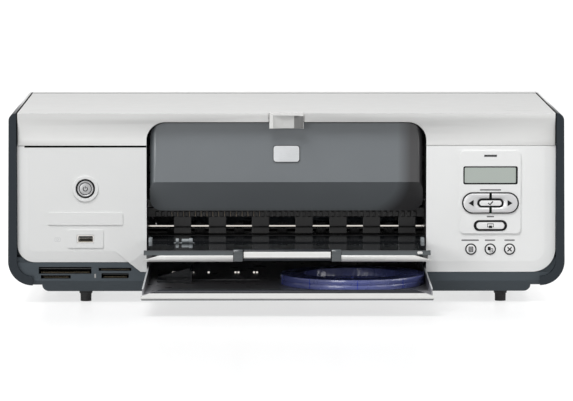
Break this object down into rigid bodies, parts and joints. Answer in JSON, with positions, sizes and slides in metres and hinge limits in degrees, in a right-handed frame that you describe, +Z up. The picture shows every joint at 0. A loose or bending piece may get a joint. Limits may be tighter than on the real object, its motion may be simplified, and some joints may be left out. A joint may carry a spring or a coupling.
{
  "type": "disc label printer",
  "caption": "Low wide desktop printer with a folding disc door, stacked paper trays, a clear disc carrier ring and a key panel.",
  "frame": {"origin": "middle of the footprint, on the surface that the feet stand on, trays included", "axes": "+X to the right, the front faces -Y, +Z up"},
  "size_m": [0.4596, 0.3847, 0.1576],
  "materials": {
    "dark_plastic": "fine texture",
    "rubber": "matt",
    "gloss_dark": "polished",
    "white_plastic": "fine texture",
    "gloss_white": "polished",
    "grey_plastic": "satin",
    "black_plastic": "satin",
    "gloss_black": "polished",
    "smoked_plastic": "polished",
    "badge_metal": "satin",
    "blue_clear": "clear",
    "steel": "brushed",
    "brass": "satin",
    "clear_film": "clear",
    "board": "satin",
    "display": "satin",
    "silver_plastic": "satin"
  },
  "bodies": {
    "body": {"base_pan": "dark_plastic", "feet": "rubber", "side_cover_left": "gloss_dark", "side_cover_right": "gloss_dark", "front_panel_left": "white_plastic", "front_panel_right": "white_plastic", "fascia_left": "grey_plastic", "fascia_right": "grey_plastic", "card_reader": "black_plastic", "rear_housing": "dark_plastic", "rear_sockets": "black_plastic", "frame_plate_left": "black_plastic", "frame_plate_right": "black_plastic", "exit_guard": "black_plastic", "platen": "black_plastic", "print_chassis": "steel", "carriage_rod": "steel", "drive_belts": "rubber", "carriage_motor": "steel", "encoder_strip": "clear_film", "service_station": "grey_plastic", "main_board": "board", "feed_motor": "steel", "control_plate": "white_plastic", "display_window": "display", "key_rings": "black_plastic", "key_boards": "board", "power_bezel": "white_plastic", "panel_trim": "white_plastic", "front_socket": "brass"},
    "lid": {"top_cover": "white_plastic"},
    "rear_door": {"rear_door": "dark_plastic"},
    "disc_door": {"disc_door": "smoked_plastic", "door_grip": "gloss_white", "door_badge": "badge_metal"},
    "output_tray": {"output_tray": "gloss_black", "output_tray_lip": "gloss_white"},
    "tray_extender": {"tray_extender": "black_plastic"},
    "catch_flap": {"catch_flap": "gloss_white"},
    "main_tray": {"main_tray": "black_plastic", "main_tray_lip": "gloss_white"},
    "width_guide": {"width_guide": "black_plastic"},
    "disc_carrier": {"disc_carrier": "blue_clear"},
    "carriage": {"carriage": "black_plastic", "cartridge_black": "black_plastic", "cartridge_colour": "grey_plastic"},
    "latch_black": {"latch_black": "grey_plastic"},
    "latch_colour": {"latch_colour": "grey_plastic"},
    "idler_pulley": {"idler_pulley": "white_plastic"},
    "motor_pulley": {"motor_pulley": "brass"},
    "feed_roller": {"feed_roller": "steel"},
    "output_roller": {"output_roller": "steel"},
    "key_back": {"key_back": "silver_plastic"},
    "key_forward": {"key_forward": "silver_plastic"},
    "key_enter": {"key_enter": "black_plastic"},
    "key_print": {"key_print": "silver_plastic"},
    "key_index": {"key_index": "silver_plastic"},
    "key_layout": {"key_layout": "silver_plastic"},
    "key_cancel": {"key_cancel": "silver_plastic"},
    "power_button": {"power_button": "silver_plastic"}
  },
  "joints": [
    {"name": "lid_hinge", "type": "hinge", "parent": "body", "child": "lid", "pos_m": [0, 0.1694, 0.1498], "axis": [-1, 0, 0], "range_deg": [0, 50]},
    {"name": "rear_door_hinge", "type": "hinge", "parent": "body", "child": "rear_door", "pos_m": [0, 0.1905, 0.037], "axis": [-1, 0, 0], "range_deg": [0, 85]},
    {"name": "disc_door_hinge", "type": "hinge", "parent": "body", "child": "disc_door", "pos_m": [0, -0.0692, 0.086], "axis": [1, 0, 0], "range_deg": [0, 85]},
    {"name": "output_tray_lift", "type": "hinge", "parent": "body", "child": "output_tray", "pos_m": [0, -0.0425, 0.047], "axis": [1, 0, 0], "range_deg": [-30, 0]},
    {"name": "extender_slide", "type": "slide", "parent": "output_tray", "child": "tray_extender", "axis": [0, -1, 0], "range_m": [0, 0.07]},
    {"name": "catch_flap_hinge", "type": "hinge", "parent": "tray_extender", "child": "catch_flap", "pos_m": [0, -0.1685, 0.0505], "axis": [-1, 0, 0], "range_deg": [0, 120]},
    {"name": "main_tray_slide", "type": "slide", "parent": "body", "child": "main_tray", "axis": [0, -1, 0], "range_m": [0, 0.12]},
    {"name": "width_guide_slide", "type": "slide", "parent": "main_tray", "child": "width_guide", "axis": [1, 0, 0], "range_m": [0, 0.06]},
    {"name": "disc_carrier_slide", "type": "slide", "parent": "main_tray", "child": "disc_carrier", "axis": [0, -0.9829, 0.184], "range_m": [0, 0.08]},
    {"name": "carriage_slide", "type": "slide", "parent": "body", "child": "carriage", "axis": [-1, 0, 0], "range_m": [0, 0.295]},
    {"name": "latch_black_hinge", "type": "hinge", "parent": "carriage", "child": "latch_black", "pos_m": [0, 0.0485, 0.104], "axis": [-1, 0, 0], "range_deg": [0, 45]},
    {"name": "latch_colour_hinge", "type": "hinge", "parent": "carriage", "child": "latch_colour", "pos_m": [0, 0.0485, 0.104], "axis": [-1, 0, 0], "range_deg": [0, 45]},
    {"name": "idler_pulley_spin", "type": "hinge", "parent": "body", "child": "idler_pulley", "pos_m": [-0.1738, 0.0615, 0.104], "axis": [0, 1, 0], "range_deg": [-2500, 2500]},
    {"name": "motor_pulley_spin", "type": "hinge", "parent": "body", "child": "motor_pulley", "pos_m": [0.1838, 0.0615, 0.104], "axis": [0, 1, 0], "range_deg": [-2500, 2500]},
    {"name": "feed_roller_spin", "type": "hinge", "parent": "body", "child": "feed_roller", "pos_m": [0, 0.0255, 0.05], "axis": [1, 0, 0], "continuous": true},
    {"name": "output_roller_spin", "type": "hinge", "parent": "body", "child": "output_roller", "pos_m": [0, -0.0225, 0.0566], "axis": [1, 0, 0], "continuous": true},
    {"name": "key_back_press", "type": "slide", "parent": "body", "child": "key_back", "axis": [0, 1, 0], "range_m": [0, 0.001], "stiffness_N_per_m": 400, "springref_m": -0.0005},
    {"name": "key_forward_press", "type": "slide", "parent": "body", "child": "key_forward", "axis": [0, 1, 0], "range_m": [0, 0.001], "stiffness_N_per_m": 400, "springref_m": -0.0005},
    {"name": "key_enter_press", "type": "slide", "parent": "body", "child": "key_enter", "axis": [0, 1, 0], "range_m": [0, 0.001], "stiffness_N_per_m": 400, "springref_m": -0.0005},
    {"name": "key_print_press", "type": "slide", "parent": "body", "child": "key_print", "axis": [0, 1, 0], "range_m": [0, 0.001], "stiffness_N_per_m": 400, "springref_m": -0.0005},
    {"name": "key_index_press", "type": "slide", "parent": "body", "child": "key_index", "axis": [0, 1, 0], "range_m": [0, 0.001], "stiffness_N_per_m": 400, "springref_m": -0.0005},
    {"name": "key_layout_press", "type": "slide", "parent": "body", "child": "key_layout", "axis": [0, 1, 0], "range_m": [0, 0.001], "stiffness_N_per_m": 400, "springref_m": -0.0005},
    {"name": "key_cancel_press", "type": "slide", "parent": "body", "child": "key_cancel", "axis": [0, 1, 0], "range_m": [0, 0.001], "stiffness_N_per_m": 400, "springref_m": -0.0005},
    {"name": "power_button_press", "type": "slide", "parent": "body", "child": "power_button", "axis": [0, 1, 0], "range_m": [0, 0.001], "stiffness_N_per_m": 400, "springref_m": -0.0005}
  ],
  "couplings": [
    {"joint": "idler_pulley_spin", "follows": "carriage_slide", "rad_per_m": -141.84},
    {"joint": "motor_pulley_spin", "follows": "carriage_slide", "rad_per_m": -141.84},
    {"joint": "output_roller_spin", "follows": "feed_roller_spin", "ratio": 1.7391}
  ]
}
